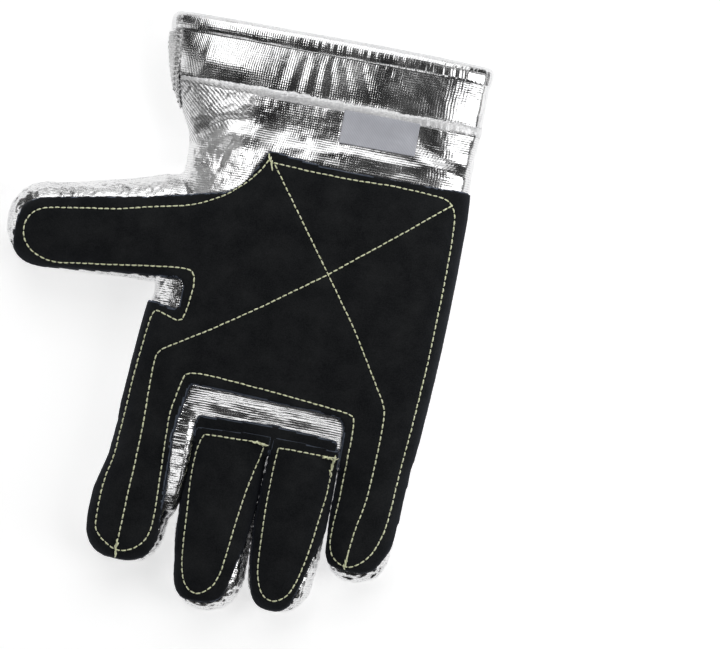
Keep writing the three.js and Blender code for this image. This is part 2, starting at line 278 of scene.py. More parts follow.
def new_solid(name, points, faces):
    """A closed mesh object from glove millimetres, with its faces turned to point out."""
    made = new_mesh(name, points, faces)
    work = bmesh.new()
    work.from_mesh(made.data)
    bmesh.ops.recalc_face_normals(work, faces=work.faces)
    work.to_mesh(made.data)
    work.free()
    return made


def read(items, key):
    """What each vertex or face of a mesh has under a key: an array of rows of three."""
    flat = np.empty(3 * len(items), np.float32)
    items.foreach_get(key, flat)
    return flat.reshape(-1, 3).astype(float)


def mesh_points(mesh):
    """A mesh's vertices in glove millimetres."""
    return read(mesh.vertices, "co") / MM - SHIFT


def face_centres(mesh):
    """The middles of a mesh's faces in glove millimetres."""
    return read(mesh.polygons, "center") / MM - SHIFT


def set_points(mesh, points):
    """Moves a mesh's vertices to places in glove millimetres."""
    mesh.vertices.foreach_set("co", to_row(points).astype(np.float32).ravel())
    mesh.update()


def applied(made):
    """Puts an object's modifiers into its mesh."""
    ready = bpy.data.meshes.new_from_object(made.evaluated_get(bpy.context.evaluated_depsgraph_get()))
    made.modifiers.clear()
    made.data = ready
    return made


def evened(made, voxel, soften):
    """A closed object again in even quads, with its edges a little round."""
    change = made.modifiers.new("even", "REMESH")
    change.mode = "VOXEL"
    change.voxel_size = voxel * MM
    change.adaptivity = 0
    smooth = made.modifiers.new("soften", "SMOOTH")
    smooth.factor = 0.5
    smooth.iterations = soften
    return applied(made)


def stacked(parts):
    """The vertices and faces of several parts as those of one."""
    points, faces, start = [], [], 0
    for part_points, part_faces in parts:
        points.append(part_points)
        faces += [[start + i for i in face] for face in part_faces]
        start += len(part_points)
    return np.concatenate(points), faces


def surface_of(made):
    """An object's vertices and faces."""
    return mesh_points(made.data), [list(polygon.vertices) for polygon in made.data.polygons]


def tree_over(*made):
    """A search tree over the surfaces of some objects."""
    points, faces = stacked(map(surface_of, made))
    return BVHTree.FromPolygons(points.tolist(), faces)


def joined_meshes(name, made):
    """Several objects' meshes as one object. The others are removed."""
    parts = [surface_of(one) for one in made]
    for one in made:
        bpy.data.objects.remove(one)
    return new_mesh(name, *stacked(parts))


def remeshed(name, parts, voxel):
    """One closed surface round all the parts, in even quads."""
    return evened(new_solid(name, *stacked(parts)), voxel, 4)


# The leather's outlines seen from above: x, y and the rounding radius of each corner.
PALM_PATCH = [
    (-25, 77, 2), (-37, 52.5, 24), (-88, 40.5, 80), (-152.6, 28.5, 18), (-153.6, -9, 17), (-57, 1, 5),
    (-58, -16, 2), (-78.2, -12.5, 1), (-80.1, -60, 60), (-82.1, -99, 40), (-87.8, -122, 30), (-86, -154, 19),
    (-46.4, -154.8, 20), (-47.2, -112, 60), (-48.2, -80, 60), (-43.8, -54, 2), (40.5, -57.5, 7), (42.2, -88, 60),
    (41.9, -117, 60), (42.8, -138, 15), (69.5, -138.6, 14), (79, -122, 20), (88, -84, 60), (90, 40, 60),
    (86, 74, 2), (10, 73.2, 300),
]
MIDDLE_PATCH = [
    (-37.2, -75.2, 3), (-38.2, -96, 60), (-38.6, -118, 80), (-37.6, -142, 60), (-33.8, -169.8, 13), (-7, -168.5, 13),
    (0.2, -134, 60), (3.8, -105, 40), (4.6, -73.6, 1.5),
]
RING_PATCH = [
    (4.9, -73.6, 2.5), (2.9, -104, 60), (2.5, -120, 60), (3.8, -138, 60), (9, -168, 13), (29, -167, 14),
    (42.0, -120, 50), (42.6, -97, 60), (41.6, -75, 1.5),
]
CREASE_STRIP = [
    (-37, -69.6, 2.5), (-38, -79, 0.4), (3.6, -82, 20), (39.6, -79, 0.4), (39.6, -70, 2), (4, -67.8, 60),
]
KNUCKLE_FLAP = [
    (-90, -27, 1), (-90, -60, 10), (-46, -78, 14), (20, -80, 60), (50, -81, 14), (95, -64, 10), (95, -27, 1),
]
SIDE_TAPE = [
    (-110, HEM_Y - 0.5, 1), (-110, 84, 1), (-75, 84, 3), (-80.4, WELT_Y, 40), (-82.6, HEM_Y - 0.5, 1),
]


def smoothstep(low, high, value):
    """0 up to one value and 1 from another on, with a smooth rise between them."""
    t = np.clip((value - low) / (high - low), 0, 1)
    return t * t * (3 - 2 * t)


def bell(away, width):
    """A smooth bump: 1 at no distance and nearly 0 at two widths."""
    return np.exp(-((away / width) ** 2))


def wave(value, pitch):
    """A regular wave between -1 and 1."""
    return np.sin(TURN * value / pitch)


def mixed_noise(points, size, seed):
    """Smooth noise between about -1 and 1, with features of a size in millimetres."""
    off = np.array([17.3, 9.1, 5.7]) * seed
    return np.array([noise.noise(p) for p in (points / size + off).tolist()])


def rounded(corners, step):
    """A closed outline with round corners, as points about a step apart."""
    at = np.array([c[:2] for c in corners], float)
    radii = [c[2] for c in corners]
    out = []
    for i, corner in enumerate(at):
        back, on = at[i - 1] - corner, at[(i + 1) % len(at)] - corner
        length_back, length_on = np.hypot(*back), np.hypot(*on)
        turn = math.acos(np.clip(back @ on / (length_back * length_on), -1, 1))
        wanted = radii[i] / math.tan(turn / 2) if turn > 1e-6 else 0
        used = min(wanted, 0.48 * length_back, 0.48 * length_on)
        start, end = corner + back / length_back * used, corner + on / length_on * used
        count = max(2, int(2 * used / step))
        t = np.linspace(0, 1, count + 1)[:, None]
        out.append((1 - t) ** 2 * start + 2 * t * (1 - t) * corner + t**2 * end)
    path = np.concatenate(out)
    return evenly(np.concatenate([path, path[:1]]), step)[:-1]


def evenly(path, step):
    """Points about a step apart along a path, with its sharp corners kept."""
    out = [path[:1]]
    for a, b in zip(path[:-1], path[1:]):
        count = max(1, round(float(np.hypot(*(b - a)[:2])) / step))
        out.append(a + (b - a) * (np.arange(1, count + 1)[:, None] / count))
    return np.concatenate(out)


def softened(path):
    """A path with its corners cut three times, each time half as far."""
    path = np.array(path, float)
    for away in (2.5, 1.25, 0.625):
        out = [path[:1]]
        for a, b in zip(path[:-1], path[1:]):
            share = min(0.25, away / max(float(np.hypot(*(b - a))), 1e-9))
            out.append(np.array([a + (b - a) * share, b - (b - a) * share]))
        path = np.concatenate([*out, path[-1:]])
    return path


def distance_to(points, path, closed=False):
    """How far each point lies from a path in the plane, and its place along it from 0 to 1."""
    if closed:
        path = np.concatenate([path, path[:1]])
    flat = points[:, :2]
    best = np.full(len(flat), np.inf)
    place = np.zeros(len(flat))
    lengths = np.hypot(*(path[1:, :2] - path[:-1, :2]).T)
    reach = np.concatenate([[0], np.cumsum(lengths)])
    for i in range(len(path) - 1):
        a, d = path[i, :2], path[i + 1, :2] - path[i, :2]
        t = np.clip(((flat - a) @ d) / max(d @ d, 1e-9), 0, 1)
        away = np.hypot(*(flat - a - t[:, None] * d).T)
        nearer = away < best
        best[nearer] = away[nearer]
        place[nearer] = (reach[i] + t[nearer] * lengths[i]) / max(reach[-1], 1e-9)
    return best, place


def inside(points, outline):
    """Which points lie inside a closed outline."""
    x, y = points[:, 0], points[:, 1]
    result = np.zeros(len(points), bool)
    for (x1, y1), (x2, y2) in zip(outline, np.roll(outline, -1, axis=0)):
        crosses = (y1 > y) != (y2 > y)
        if crosses.any():
            at = x1 + (y - y1) * (x2 - x1) / (y2 - y1 if y2 != y1 else 1e-9)
            result ^= crosses & (x < at)
    return result


def within(points, outline):
    """Signed distance in the plane: above zero inside the outline."""
    away, _ = distance_to(points, outline, closed=True)
    return np.where(inside(points, outline), away, -away)


def frayed(outline, seed):
    """An outline of cut leather, a little uneven."""
    path = rounded(outline, 0.8)
    side = np.roll(path, -1, axis=0) - np.roll(path, 1, axis=0)
    side = np.column_stack([side[:, 1], -side[:, 0]]) / np.maximum(np.hypot(*side.T), 1e-9)[:, None]
    flat = np.column_stack([path, np.zeros(len(path))])
    return path + side * (0.3 * mixed_noise(flat, 9, seed) + 0.2 * mixed_noise(flat, 2.2, seed + 1))[:, None]


def prism(outline, low, high):
    """A closed upright prism on an outline."""
    count = len(outline)
    points = np.concatenate([
        np.column_stack([outline, np.full(count, low)]),
        np.column_stack([outline, np.full(count, high)]),
    ])
    sides = [[i, (i + 1) % count, count + (i + 1) % count, count + i] for i in range(count)]
    return points, sides + [list(range(count))[::-1], list(range(count, 2 * count))]


def form_part(form, count=120, until=None):
    """A form's tube, or only its rows on the hand's side of a place along it."""
    rings = form_rings(form, RING_STEP, count)
    axis = 1 if form["axis"] == "y" else 0
    if until is not None:
        rings = rings[rings[:, 0, axis] > until]
    return ring_mesh(rings)


def base_surface(name, digits, voxel=BASE_VOXEL, stubs=()):
    """The hand with some digits, as one even closed surface. A stub is a digit that is cut short."""
    stub_end = FINGER_SEAM_Y - STUB_REACH
    open_hand = {**HAND, "rows": [*HAND["rows"], (CUFF_END_Y + CUFF_OVERRUN, *CUFF_END_ROW[1:])]}
    parts = [form_part(open_hand, count=240)]
    parts += [form_part(DIGITS[finger]) for finger in digits]
    parts += [form_part(DIGITS[finger], until=stub_end) for finger in stubs]
    if stubs or "index_finger" in digits:
        parts.append(form_part(GUSSET, until=stub_end if stubs else None))
    return remeshed(name, parts, voxel)


# The band's broad roll along the glove: where it is highest, and how far it is from there to where it is lowest.
BAND_ROLL_Y, BAND_ROLL_REACH = 119, 26

# Folds in the cloth, each a ridge or dent along a short path: width, height, then x and y of its points.
PALM_FOLDS = [
    (20, 1.3, [(-76, 94), (-60, 91), (-40, 94)]),
    (4.2, -0.9, [(-58, 84), (-55, 86.5), (-50, 89), (-38, 91)]),
    (9, 1.6, [(-60, 74), (-48, 81), (-36, 82)]),
    (4, -1.4, [(-51, 62), (-49, 72), (-45, 81)]),
    (8, 0.9, [(-64, 58), (-60, 68), (-56, 76)]),
    (14, -0.85, [(-34, 91), (-14, 89.5), (13, 88)]),
    (5, 0.15, [(-34, 82), (-12, 81), (8, 80)]),
    (5, 0.8, [(8, 82), (35, 81), (70, 82)]),
    (7, -1.1, [(50, 96), (66, 90), (82, 88)]),
    (5, 1.0, [(52, 86), (66, 84), (84, 80)]),
    (8, -1.2, [(-36, -61), (0, -62), (36, -65)]),
    (4, 0.4, [(-37, -58), (-20, -62), (6, -63)]),
    (3.2, -0.28, [(-38, -56), (-26, -63), (-8, -66)]),
    (3.2, 0.25, [(2, -60), (12, -64), (30, -66)]),
]
BACK_FOLDS = [
    (11, -1.9, [(-76, 34), (-40, 62), (20, 98)]),
    (8, 1.3, [(-70, 52), (-38, 76), (-10, 98)]),
    (8, -1.2, [(-76, 77), (-60, 84), (-45, 87)]),
    (10, -1.5, [(-62, 12), (-42, 0), (-20, -8)]),
    (12, -1.3, [(30, 30), (56, 25), (80, 18)]),
    (10, 1.2, [(20, 2), (46, -6), (70, -12)]),
    (9, 1.5, [(-60, -22), (-25, -16), (10, -24)]),
    (9, 1.5, [(16, -24), (50, -17), (80, -24)]),
]
FLAP_FOLDS = [
    (8, -1.0, [(-78, -30), (-60, -50), (-45, -63)]),
    (7, -0.8, [(-80, -50), (-60, -66), (-45, -74)]),
    (9, -1.0, [(75, -33), (40, -55), (5, -73)]),
    (6, -0.6, [(-30, -30), (-12, -50), (-4, -74)]),
]
BAND_FOLDS = [
    (15, 0.85, [(-76, 119), (-52, 119), (-30, 119)]),
    (4.5, 0.5, [(-65.5, 131), (-67, 119), (-69, 109)]),
]

# The narrow folds that fan out across the band: width, height, and their x at the hem and at the welt.
for wide, tall, top, bottom in (
    (3.4, -0.20, -23, -28), (3.2, 0.18, -18, -22), (3.0, -0.20, -14, -17), (3.0, 0.18, -10.5, -12),
    (2.6, -0.2, -7, -7.5), (2.6, 0.2, -4, -3), (2.6, -0.22, -1, 2), (2.6, 0.22, 2, 7), (2.8, -0.24, 5.5, 13),
    (2.8, 0.24, 9.5, 19), (3.0, -0.24, 14, 26), (3.0, 0.2, 20, 33), (3.6, -0.18, 28, 41), (3.6, 0.15, 38, 49),
    (4.0, -0.16, 49, 57), (3.6, 0.15, 60, 66), (4.0, -0.16, 70, 75),
):
    BAND_FOLDS.append((wide, tall, [(top, 131), (bottom, 108)]))

# The cloth is pulled askew beyond a line beside the thumb, on the side that the direction points to.
PULL_LINE = (-34, 94, 30)
PULL_WAY = (-0.49, 0.872, 0)
PULL_TURN = math.radians(-57)
PULL_LOW_Y = 50

# The painted shade between its askew ribs thins out between these places, from the first to the second height at which
# it shows.
RIBS_FADE_X = (-76, -58)
RIBS_SHOW = (0.62, 0.12)

# The weave: its pitch, and how much of its height its ribs and its wefts make.
WEAVE_PITCH = 1.25
RIBS, WEFTS = 0.66, 0.34

# Sewn lines seen from above, and the short rows of stitches across their ends.
MAIN_LINE = [
    (-24, 72), (-27, 66), (-33, 58), (-42, 50), (-52, 44), (-62, 40), (-80, 36), (-100, 31), (-120, 28),
    (-138, 25), (-144, 22), (-148, 15), (-147, 7), (-142, 1), (-135, -2), (-128, -3), (-115, -1), (-100, 1),
    (-80, 4), (-65, 6), (-55, 6.5), (-52, 4), (-51.5, -4), (-53, -15), (-54, -21), (-57, -22), (-66, -19),
    (-70, -18), (-71.5, -22), (-73, -35), (-75, -55), (-76, -75), (-77, -90), (-77.5, -100), (-80, -110),
    (-81, -120), (-81, -138), (-79, -142), (-74, -146), (-67.5, -149.5), (-60, -148), (-54, -143), (-51, -136),
    (-50.5, -125), (-51, -110), (-51.5, -90), (-52, -70), (-50, -60), (-48.5, -52), (-47, -48), (-35, -47.5),
    (-20, -48.5), (0, -50), (20, -51.8), (35, -53.4), (43.6, -54.3), (45.8, -56.3), (46.2, -65), (46, -80), (46, -100),
    (45, -115), (45, -125), (47, -131), (51, -134.5), (55.5, -136), (60, -135), (66, -130), (70, -123),
    (73, -112), (74, -100), (75, -80), (77, -55), (79, -20), (80, 20), (80, 45), (79, 62), (74, 68.5),
    (45, 70), (20, 69), (0, 69.5), (-22, 70.5),
]
CROSS_LINES = [
    [
        (-21, 70), (18, 17), (37, -9), (61, -48), (61.5, -60), (61, -85), (60, -100), (57, -115), (55.5, -130),
        (55.5, -136),
    ],
    [
        (77, 66), (51, 44), (18, 17), (-15, -7.2), (-38, -23), (-62, -38), (-65, -41), (-65.5, -55), (-65, -80),
        (-65.5, -100), (-66.5, -120), (-67.5, -149),
    ],
]
MIDDLE_LINE = [
    (-31.6, -79), (0, -78), (1, -80), (-1.8, -92), (-4.4, -105), (-6.4, -120), (-8, -135), (-9.6, -150), (-12, -158),
    (-17, -163), (-22, -165), (-28, -161), (-31, -152), (-32.4, -140), (-33.6, -120), (-34.8, -105), (-34.8, -92),
    (-33.4, -82), (-31.6, -79),
]
RING_LINE = [
    (8.6, -79), (39, -79), (39, -85), (38.5, -100), (37, -112), (35, -130), (32, -145), (29, -155), (24, -160),
    (19, -161.5), (13.2, -158), (9.6, -148), (8.7, -135), (7.8, -115), (7.8, -100), (8.2, -85), (8.6, -79),
]
TACKS = {
    "palm": [[(-24, 73.5), (-22, 68)], [(-67.5, -145), (-67.5, -152)], [(55.5, -130), (55.5, -139)]],
    "middle": [[(-5, -78.3), (2, -78.3)]],
    "ring": [[(34, -79.2), (40, -79.2)], [(39.4, -79), (38.2, -87)]],
}
SIDE_LINES = [
    [(-84.9, 141), (-83.5, 131), (-82.4, 120), (-81.9, 108), (-79.9, 98), (-76.6, 88)],
    [(-87.2, 140), (-85.9, 131), (-84.8, 120), (-84.0, 110), (-82, 99), (-78, 89)],
]
STITCH_PITCH = 3.35
STITCH_SIDES = 7
STITCH_SINK = 0.06

# A stitch's rings from one end to the other: place from its middle, and thickness.
STITCH_RINGS = ((-1, 0.35), (-0.8, 0.8), (-0.4, 1.0), (0.0, 1.0), (0.4, 1.0), (0.8, 0.8), (1, 0.35))
random = np.random.default_rng(11)


def folded(points, folds):
    """How far a table of folds lifts each point."""
    lift = np.zeros(len(points))
    for width, height, path in folds:
        away, place = distance_to(points, np.array(path, float))
        fade = np.sqrt(np.sin(math.pi * np.clip(place, 0.03, 0.97)))
        lift += height * fade * bell(2 * away, width)
    return lift


def coated(made, *kinds, second=None):
    """Gives a piece its materials and smooth shading, with the second material on the faces that second marks."""
    made.data.materials.clear()
    for kind in kinds:
        made.data.materials.append(materials[kind])
    made.data.shade_smooth()
    if second is not None:
        made.data.polygons.foreach_set("material_index", second.astype(np.int32))
    return made


def shaped_cloth(rest, normals, has_digits):
    """The cloth's outer surface before it crinkles: folds, seams pulled in, and the dents under the leather."""
    x, y, z = rest.T
    palm = smoothstep(SIDE_SEAM_Z - 2, SIDE_SEAM_Z + 8, z)
    back = 1 - smoothstep(SIDE_SEAM_Z - 10, SIDE_SEAM_Z, z)
    band = palm * smoothstep(WELT_Y - 1, WELT_Y + 4, y)
    lift = (0.55 - 0.47 * band) * mixed_noise(rest, 26, 1) + (0.35 - 0.33 * band) * mixed_noise(rest, 11, 2)

    # The folds, the band's roll and fine streaks, and the wrist's cross wrinkles.
    if not has_digits:
        lift += palm * (folded(rest, PALM_FOLDS) + folded(rest, BAND_FOLDS)) + back * folded(rest, BACK_FOLDS)
        spread = 1 + 0.6 * (HEM_Y - y) / (HEM_Y - WELT_Y)
        streaks = np.column_stack([(x + 7) / spread, 0.1 * y, 0 * y])
        lift += band * (0.04 + 0.11 * smoothstep(-36, -4, x)) * mixed_noise(streaks, 2.4, 9)
        lift += 0.5 * band * np.cos(math.pi * (y - BAND_ROLL_Y) / BAND_ROLL_REACH)
        wrist = palm * smoothstep(-40, -30, x) * smoothstep(72, 77, y) * (1 - smoothstep(96, 102, y))
        lift += 0.24 * wrist * mixed_noise(np.column_stack([0.25 * x, y, 0 * y]), 3.4, 10)
        lift -= 1.3 * band * smoothstep(-36, 16, x) * (HEM_Y - y) / (HEM_Y - WELT_Y)

    # The puckers at the welt and the hem, and the wrinkles of the gusset.
    wavy = x + 2.2 * mixed_noise(rest, 16, 3) + 0.25 * z
    pucker = wave(wavy, 4.6) * (0.55 + 0.45 * mixed_noise(rest, 13, 4))
    for seam, reach, dent in ((WELT_Y, 5.0, 0.5), (HEM_Y, 5.5, 0.0)):
        near = bell(y - seam, reach) * (0.35 + 0.65 * smoothstep(-30, 5, x))
        lift += near * 0.2 * pucker - dent * bell(y - seam, 1.5)
    gusset = (np.abs(x - GUSSET_X) < 7) * smoothstep(-132, -124, y) * (1 - smoothstep(-70, -62, y))
    wrinkle = wave(y + 2.6 * mixed_noise(rest, 7, 12), 4.8)
    lift += palm * gusset * (0.05 + 0.12 * smoothstep(-92, -82, y)) * wrinkle

    # The gathered seams along the sides.
    sides = np.abs(normals[:, 2]) < 0.8
    along = np.where(x < THUMB_SEAM_X - 4, x, y)
    gather = wave(along + 1.5 * mixed_noise(rest, 9, 5), 4.4)
    if has_digits:
        for seam in DIGIT_SEAMS_Z:
            near = bell(z - seam, 3.2)
            lift += near * sides * (0.38 * gather - 0.25) - 0.7 * sides * bell(z - seam, 0.9)
    else:
        lift -= 0.7 * bell(z - SIDE_SEAM_Z, 1.1) * sides

    # The cloth lies calm and lower under the leather.
    covered = np.full(len(rest), -99.0)
    for outline in (PALM_PATCH, MIDDLE_PATCH, RING_PATCH, CREASE_STRIP):
        covered = np.maximum(covered, within(rest, rounded(outline, 4)))
    under = smoothstep(-0.5, 2.5, covered) * (z > PATCH_LOW_Z)
    lift = lift * (1 - 0.9 * under) - 0.8 * under
    out = rest + normals * np.clip(lift, -MOST_LIFT, MOST_LIFT)[:, None]
    out[:, 2] = np.maximum(out[:, 2], SHAPED_LOW_Z)

    # Where the crinkles of the simulation are left out, or only a share of them is used.
    calm = palm * np.maximum(0.7 * smoothstep(-48, -24, x), 0.85 * (np.abs(x) < WINDOW_HALF_X) * (y < -45))
    calm = 0.8 * gusset if has_digits else calm
    loose = CRINKLE * (1 - np.maximum(calm, 0.85 * band))
    return out, under, loose


def crinkled(made, hold):
    """Lets Blender's cloth shrink between its held points, so that it crinkles like foil-faced cloth."""
    group = made.vertex_groups.new(name="hold")
    for weight in np.unique(hold):
        group.add(np.nonzero(hold == weight)[0].tolist(), float(weight), "REPLACE")
    cloth = made.modifiers.new("cloth", "CLOTH")
    for key, value in CLOTH.items():
        setattr(cloth.settings, key, value)
    cloth.settings.effector_weights.gravity = 0
    cloth.collision_settings.use_collision = False
    cloth.point_cache.frame_start = 1
    cloth.point_cache.frame_end = CLOTH_FRAMES
    for step in range(1, CLOTH_FRAMES + 1):
        bpy.context.scene.frame_set(step)
    applied(made)
    bpy.context.scene.frame_set(1)
    made.vertex_groups.clear()


def cloth_shell(made, has_digits):
    """Turns a smooth surface into crinkled cloth. Its mesh keeps the smooth points, and the others as an attribute."""
    mesh = made.data
    rest = mesh_points(mesh)
    normals = read(mesh.vertices, "normal")
    formed, under, loose = shaped_cloth(rest, normals, has_digits)
    set_points(mesh, formed)
    hold = np.full(len(rest), HOLD["digits" if has_digits else "hand"])
    hold[under > 0.5] = HOLD["leather"]
    y = rest[:, 1]
    seams = (np.abs(y - WELT_Y) < 1.5) | (np.abs(y - HEM_Y) < 1.5) | (np.abs(y - FINGER_SEAM_Y) < 2.0)
    seams |= (np.abs(rest[:, 0] - THUMB_SEAM_X) < 2.0) & (np.abs(y - 24) < 36)
    hold[seams] = HOLD["seam"]
    hold[rest[:, 2] < 0.8] = HOLD["floor"]
    crinkled(made, hold)
    mesh = made.data
    formed += loose[:, None] * (mesh_points(mesh) - formed)
    moved = np.maximum(np.linalg.norm(formed - rest, axis=1), 1e-6)
    formed = rest + (formed - rest) * np.minimum(1, MOST_MOVE / moved)[:, None]
    formed[:, 2] = np.maximum(formed[:, 2], CLOTH_LOW_Z)
    set_points(mesh, rest)
    layer = mesh.attributes.new("formed", "FLOAT_VECTOR", "POINT")
    layer.data.foreach_set("vector", (formed - rest).astype(np.float32).ravel())


def crumples(points, normals):
    """Small sharp crumples, deepest on the sides of the digits and in the window at the finger bases."""
    x, y, z = points.T
    steep = 1 - smoothstep(0.55, 0.95, np.abs(normals[:, 2]))
    on_digit = np.maximum(smoothstep(74, 80, -x) * (y < 72), smoothstep(80, 88, -y))
    window = smoothstep(46, 54, -y) * (np.abs(x) < WINDOW_HALF_X) * (z > SIDE_SEAM_Z)
    notch = (x < -50) * (np.abs(y + 8) < 12)
    band = smoothstep(WELT_Y - 1, WELT_Y + 4, y) * (z > SIDE_SEAM_Z)
    gusset = (np.abs(x - GUSSET_X) < 7) * (np.abs(y + 104) < 26)
    depth = 0.04 * (1 - band) + 0.36 * steep * on_digit * (1 - 0.75 * gusset) + 0.03 * window + 0.12 * notch
    sharp = 1 - 2 * np.abs(mixed_noise(points, 3.4, 91))
    return depth * (sharp + 0.6 * mixed_noise(points, 1.7, 92))


def cut_along(made, planes):
    """Splits a mesh's faces along planes, each a point and a direction in glove millimetres."""
    work = bmesh.new()
    work.from_mesh(made.data)
    for at, direction in planes:
        everything = work.verts[:] + work.edges[:] + work.faces[:]
        bmesh.ops.bisect_plane(work, geom=everything, dist=1e-7, plane_co=to_row(at), plane_no=direction)
    work.to_mesh(made.data)
    work.free()


def chosen_faces(mesh, chosen):
    """The vertices that the chosen faces use, those faces in the vertices' new numbers, and the edges round them."""
    faces = [list(p.vertices) for p, take in zip(mesh.polygons, chosen) if take]
    used = np.unique(np.concatenate(faces))
    number = np.full(len(mesh.vertices), -1)
    number[used] = np.arange(len(used))
    faces = [number[f].tolist() for f in faces]
    directed = {(a, b): None for face in faces for a, b in zip(face, face[1:] + face[:1])}
    return used, faces, [(a, b) for a, b in directed if (b, a) not in directed]


def cloth_piece(name, made, chosen, fine_weave=True):
    """A closed piece from the faces of a shell that are chosen, with an inner face a wall's thickness in."""
    mesh = made.data
    rest = mesh_points(mesh)
    used, faces, rim = chosen_faces(mesh, chosen)
    formed = rest + read(mesh.attributes["formed"].data, "vector")
    outer = new_mesh(name, formed[used], faces)
    edges = [tuple(sorted(e.vertices)) for e in outer.data.edges]
    middle = {edge: len(used) + i for i, edge in enumerate(edges)}
    change = outer.modifiers.new("fine", "SUBSURF")
    change.levels = change.render_levels = 1
    change.boundary_smooth = "ALL"
    applied(outer)
    points, out_faces = surface_of(outer)
    normals = read(outer.data.vertices, "normal")
    points += normals * crumples(points, normals)[:, None]
    points[:, 2] = np.maximum(points[:, 2], PRESSED_LOW_Z)
    bpy.data.objects.remove(outer)
    inner = rest[used] - read(mesh.vertices, "normal")[used] * WALL
    inner[:, 2] = np.maximum(inner[:, 2], CLOTH_LOW_Z + WALL * 0.9)
    start = len(points)
    in_faces = [[start + i for i in face[::-1]] for face in faces]
    rim_faces = [[b, middle[min(a, b), max(a, b)], a, start + a, start + b] for a, b in rim]
    piece = new_mesh(name, np.concatenate([points, inner]), out_faces + in_faces + rim_faces)
    lined = np.zeros(len(piece.data.polygons))
    lined[len(out_faces):len(out_faces) + len(in_faces)] = 1
    return coated(piece, "silver" if fine_weave else "crumpled_silver", "lining", second=lined)


def nearest_on(base, points):
    """For each point, the nearest place on a smooth object and its normal there."""
    tree, face_normals = tree_over(base), read(base.data.polygons, "normal")
    places, normals = np.empty_like(points), np.empty_like(points)
    for i, p in enumerate(points.tolist()):
        places[i], _, face, _ = tree.find_nearest(p)
        normals[i] = face_normals[face]
    return places, normals


def layer(name, base, outline, edge, heights, levels, voxel, soften, below=None, ripple=0.25, margin=5.0):
    """A layer between two heights over a smooth surface, cut along an upright edge between two levels, in even quads:
    the object, its points, and the surface's nearest places and normals."""
    mesh = base.data
    rest = mesh_points(mesh)
    near = within(rest, rounded(outline, 4)) > -margin
    near &= rest[:, 2] < below if below is not None else rest[:, 2] > PATCH_LOW_Z - 4
    used, faces, rim = chosen_faces(mesh, [near[list(p.vertices)].all() for p in mesh.polygons])
    rest, normals = rest[used], read(mesh.vertices, "normal")[used]
    wavy = ripple * mixed_noise(rest, 32, 7) + 0.5 * ripple * mixed_noise(rest, 14, 8)
    bottom, top = (rest + normals * (height + wavy)[:, None] for height in heights)
    start = len(used)
    turned = [[start + i for i in face[::-1]] for face in faces]
    sides = sorted([b, a, start + a, start + b] for a, b in rim)
    made = new_mesh(name, np.concatenate([top, bottom]), faces + turned + sides)
    change = made.modifiers.new("cut", "BOOLEAN")
    change.operation = "INTERSECT"
    change.solver = "MANIFOLD"
    change.object = cutter = new_mesh("cutter", *prism(edge, *levels))
    applied(made)
    bpy.data.objects.remove(cutter)
    points = mesh_points(evened(made, voxel, soften).data)
    return made, points, *nearest_on(base, points)


def leather_piece(name, base, outline, lines, seed, voxel=LEATHER_VOXEL, thick=LEATHER):
    """A suede patch over a smooth surface: cut to its outline, with round edges and grooves along its stitches."""
    edge = frayed(outline, seed)
    heights, levels = (LEATHER_GAP, LEATHER_GAP + thick), (PATCH_LOW_Z, ABOVE_Z)
    made, points, places, normals = layer(name, base, outline, edge, heights, levels, voxel, 5)
    height = ((points - places) * normals).sum(axis=1)
    top = smoothstep(0.4, 0.85, (height - LEATHER_GAP) / thick)
    drop = np.zeros(len(points))
    for line in lines:
        path = softened(line)
        away, place = distance_to(points, path)
        length = np.hypot(*np.diff(path, axis=0).T).sum()
        holes = 0.75 + 0.25 * np.cos(TURN * place * round(length / STITCH_PITCH))
        drop = np.maximum(drop, 0.55 * holes * bell(away, 0.8))
        drop = np.maximum(drop, 0.18 * bell(away, 3.0))
    drop += 0.55 * (1 - smoothstep(0.0, 1.4, within(points, edge[::2])))
    drop += 0.05 * mixed_noise(points, 1.9, seed + 2)
    points -= normals * (top * drop)[:, None]
    set_points(made.data, points)
    centres = np.array([points[list(p.vertices)].mean(axis=0) for p in made.data.polygons])
    upright = (read(made.data.polygons, "normal") * nearest_on(base, centres)[1]).sum(axis=1)
    cut = (upright < 0.8 + 0.1 * mixed_noise(centres, 14, seed + 3)) & (within(centres, edge[::2]) < 1.4)
    return coated(made, "suede", "suede_edge", second=cut)


def laid_on(tree, x, y):
    """The place and normal of the surface straight below a point above the glove, or None."""
    at, normal, _, _ = tree.ray_cast((x, y, ABOVE_Z), (0, 0, -1))
    return None if at is None else (np.array(at), np.array(normal))


def stitch(ends, thick, arch):
    """One stitch between two places: a short round strand that comes out of the surface and dips back in."""
    (a, normal_a), (b, normal_b) = ends
    along = b - a
    length = np.linalg.norm(along)
    along = along / length
    side = np.cross(normal_a + normal_b, along)
    side /= max(np.linalg.norm(side), 1e-9)
    lift = np.cross(along, side)
    rings = []
    for share, wide in STITCH_RINGS:
        centre = (a + b) / 2 + along * (share * length / 2) + lift * (arch * (1 - share**2) - STITCH_SINK)
        rings.append([
            centre + thick / 2 * wide * (side * math.cos(angle) + 0.85 * lift * math.sin(angle))
            for angle in np.arange(STITCH_SIDES) * (TURN / STITCH_SIDES)
        ])
    return ring_mesh(np.array(rings))


